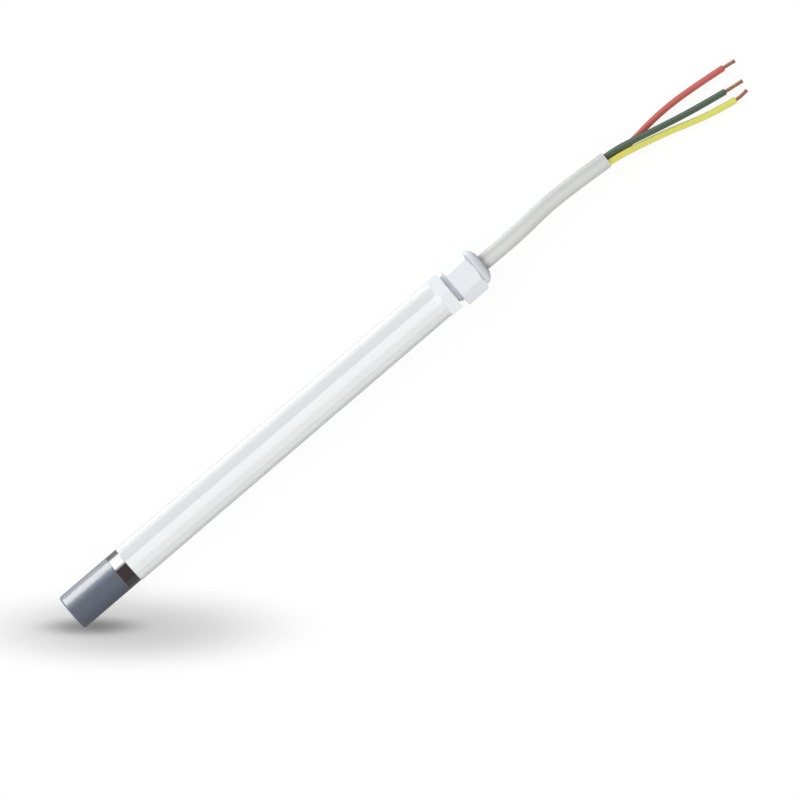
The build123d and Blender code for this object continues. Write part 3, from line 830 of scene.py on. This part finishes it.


# Two ovals of painted shadow: a wide one and a dark core right under the tip.
wide_shade = shade_at(-86.5, -17.5, 86, 20, 0.56)
tip_shade = shade_at(-97.3, -6.8, 29, 5.2, 0.3)
both = add_node(tree, "Math", "MULTIPLY")
brighten = add_node(tree, "Math", "MULTIPLY")
brighten.inputs[1].default_value = oval_gain
tree.links.new(wide_shade, both.inputs[0])
tree.links.new(tip_shade, both.inputs[1])
tree.links.new(both.outputs[0], brighten.inputs[0])
tree.links.new(brighten.outputs[0], glow.inputs["Strength"])
print("the ovals are turned", round(math.degrees(stem_rise), 1), "degrees from the stem")

# %% Join the table's rays
for_camera = add_node(tree, "MixShader")
for_gloss = add_node(tree, "MixShader")
tree.links.new(paths.outputs["Is Camera Ray"], camera_share.inputs[0])
tree.links.new(camera_share.outputs[0], for_camera.inputs["Fac"])
tree.links.new(matt.outputs[0], for_camera.inputs[1])
tree.links.new(glow.outputs[0], for_camera.inputs[2])
tree.links.new(paths.outputs["Is Glossy Ray"], for_gloss.inputs["Fac"])
tree.links.new(for_camera.outputs[0], for_gloss.inputs[1])
tree.links.new(dim.outputs[0], for_gloss.inputs[2])
tree.links.new(for_gloss.outputs[0], output.inputs["Surface"])
table.data.materials.append(table_white)
print("table:", len(tree.nodes), "nodes")

# %% [markdown]
# ## Light
# The world gives a soft, nearly shadowless light. It is weaker and warmer low on the near
# side, and it fades from the tip's end to the lead's end, so the faces that look along the
# lead are shaded. What gloss and metal see is shaped apart from it: one bright window on the
# far side, and darkness over and before the probe. That makes the ring half white, half dark,
# as polished metal looks in a studio.

# %% The direction in the sky
world = bpy.data.worlds.new("world")
bpy.context.scene.world = world
world.use_nodes = True
tree = world.node_tree
background = tree.nodes["Background"]
place = add_node(tree, "TexCoord")
split = add_node(tree, "SeparateXYZ")
tilt = add_node(tree, "Math", "ARCTAN2")
share = add_node(tree, "MapRange", From_Min=-math.pi, From_Max=math.pi)
tree.links.new(place.outputs["Generated"], split.inputs[0])
tree.links.new(split.outputs["Y"], tilt.inputs[0])
tree.links.new(split.outputs["Z"], tilt.inputs[1])
tree.links.new(tilt.outputs[0], share.inputs["Value"])
print("the world starts with", len(tree.nodes), "nodes")

# %% Two skies
neutral = (1, 1, 1)
warm = (1, 0.985, 0.94)
brown = (1, 0.8, 0.8)


def ramp_place(angle):
    """Where an angle from the zenith, from -180 to 180 degrees, lies on a ramp."""
    return (angle + 180) / 360


def sky_ramp(stops):
    """Tinted levels by the angle from the zenith, from the near horizon to the far one."""
    ramp = add_node(tree, "ValToRGB")
    elements = ramp.color_ramp.elements
    for index, (angle, level, tint) in enumerate(stops):
        position = ramp_place(angle)
        element = elements[index] if index < 2 else elements.new(position)
        element.position = position
        element.color = (*(level * part for part in tint), 1)
    tree.links.new(share.outputs["Result"], ramp.inputs["Fac"])
    return ramp


near_stops = [(-90, 0.57, warm), (-55, 0.72, warm), (-15, 0.64, neutral)]
far_stops = [(20, 0.64, neutral), (60, 0.85, neutral), (90, 0.85, neutral)]
soft_sky = sky_ramp([*near_stops, *far_stops])
dark_stops = [(-90, 0.045, brown), (1, 0.05, brown)]
window_stops = [(18, 0.95, neutral), (73, 1.0, neutral), (88, 0.35, neutral)]
gloss_sky = sky_ramp([*dark_stops, *window_stops])
print("the zenith lies at", ramp_place(0), "on both skies")

# %% What each ray sees of the world
tip_end_level = 1.6
lead_end_level = 0.28
light_level = 1.4
paths = add_node(tree, "LightPath")
end_fade = add_node(tree, "MapRange", From_Min=-1, To_Min=tip_end_level, To_Max=lead_end_level)
soft_light = add_node(tree, "VectorMath", "SCALE")
for_gloss = add_node(tree, "Mix")
for_gloss.data_type = "RGBA"
for_camera = add_node(tree, "Mix")
for_camera.data_type = "RGBA"
for_camera.inputs[7].default_value = (1, 1, 1, 1)
tree.links.new(paths.outputs["Is Glossy Ray"], for_gloss.inputs["Factor"])
tree.links.new(split.outputs["X"], end_fade.inputs["Value"])
tree.links.new(soft_sky.outputs["Color"], soft_light.inputs[0])
tree.links.new(end_fade.outputs["Result"], soft_light.inputs["Scale"])
tree.links.new(soft_light.outputs[0], for_gloss.inputs[6])
tree.links.new(gloss_sky.outputs["Color"], for_gloss.inputs[7])
tree.links.new(paths.outputs["Is Camera Ray"], for_camera.inputs["Factor"])
tree.links.new(for_gloss.outputs[2], for_camera.inputs[6])
tree.links.new(for_camera.outputs[2], background.inputs["Color"])
sky_level = add_node(tree, "MapRange", To_Min=light_level, To_Max=1.0)
tree.links.new(paths.outputs["Is Camera Ray"], sky_level.inputs["Value"])
tree.links.new(sky_level.outputs["Result"], background.inputs["Strength"])
print("world:", len(tree.nodes), "nodes")

# %% [markdown]
# ## Panels
# Long panels draw the lines of light that the photograph shows: the bright stripe along the
# tube, its bright far edge and the filter's sheen. Each works in gloss alone and is reflected
# by some pieces only, so that a panel made for the glossy tube doesn't flatten the matt gland.
# Some stand in an arch a metre off. The others lie just above the table and lighten the lower
# edges, the last one the very rim of the tube.

# %% A panel that some pieces reflect


def panel(name, middle, facing, length, width, level, pieces):
    """A long panel along the stem that only some pieces reflect."""
    lamp = bpy.data.lights.new(name, "AREA")
    lamp.shape = "RECTANGLE"
    lamp.size = length
    lamp.size_y = width
    lamp.energy = level * length * width * math.pi
    holder = bpy.data.objects.new(name, lamp)
    bpy.context.scene.collection.objects.link(holder)
    back = -facing
    turned = Matrix((along, back.cross(along), back)).transposed().to_4x4()
    holder.matrix_world = Matrix.Translation(middle) @ turned
    holder.visible_camera = False
    holder.visible_diffuse = False
    lit = bpy.data.collections.new(name + "_lit")
    for piece in pieces:
        lit.objects.link(piece)
    holder.light_linking.receiver_collection = lit
    print(name, "lights", len(pieces), "pieces at level", level)
    return holder


def overhead(angle):
    """The direction at an angle from the zenith, towards the far side where it is positive."""
    return Vector((0, math.sin(math.radians(angle)), math.cos(math.radians(angle))))


print("60 degrees to the far side is", [round(part, 3) for part in overhead(60)])

# %% Panels in an arch
arch_station = 100
arch_length = 1.2


def arch_panel(name, first, last, level, pieces):
    """A panel one metre off that fills the angles from the first to the last."""
    toward = overhead((first + last) / 2)
    width = 2 * math.tan(math.radians(abs(last - first)) / 2)
    return panel(name, on_stem(arch_station) + toward, -toward, arch_length, width, level, pieces)


tube = nodes["probe_tube"]
filter_cup = nodes["filter_cup"]
gland_body = nodes["gland_body"]
white_pieces = [tube, gland_body, nodes["gland_nut"], neck_thread]
arch_panel("stripe_panel", -42, 6, 5.35, [*white_pieces, jacket])
arch_panel("side_panel", -89, -42, 3.4, [tube, jacket])
arch_panel("gland_panel", -89, -42, 1.8, [gland_body, neck_thread])
arch_panel("edge_panel", 72, 89, 2.8, [*white_pieces, jacket])
filter_panel = arch_panel("filter_panel", 38, 89, 6.8, [filter_cup])
filter_panel.data.color = (1, 0.99, 0.93)

# %% Panels just above the table
low_x = 50 * mm
low_z = 1.5 * mm
low_length = 0.6
low_width = 0.18
low_aside = 0.11
rim_width = 0.009
rim_aside = 0.0155


def low_panel(name, aside, width, level, pieces):
    """A panel that faces up from the table, beside the stem."""
    middle = Vector((low_x, aside, low_z))
    return panel(name, middle, overhead(0), low_length, width, level, pieces)


low_panel("far_low_panel", low_aside, low_width, 4.8, [*white_pieces, jacket])
near_low = low_panel("near_low_panel", -low_aside, low_width, 1.6, white_pieces)
near_low.data.color = warm
low_panel("filter_low_panel", low_aside, low_width, 1.7, [filter_cup])
low_panel("tube_low_panel", rim_aside, rim_width, 0.6, [tube])

# %% [markdown]
# ## Finish
# The view transform stays Standard, so that a colour shows as it is written.

# %% Finish
bpy.context.scene.view_settings.view_transform = "Standard"
bpy.context.view_layer.update()
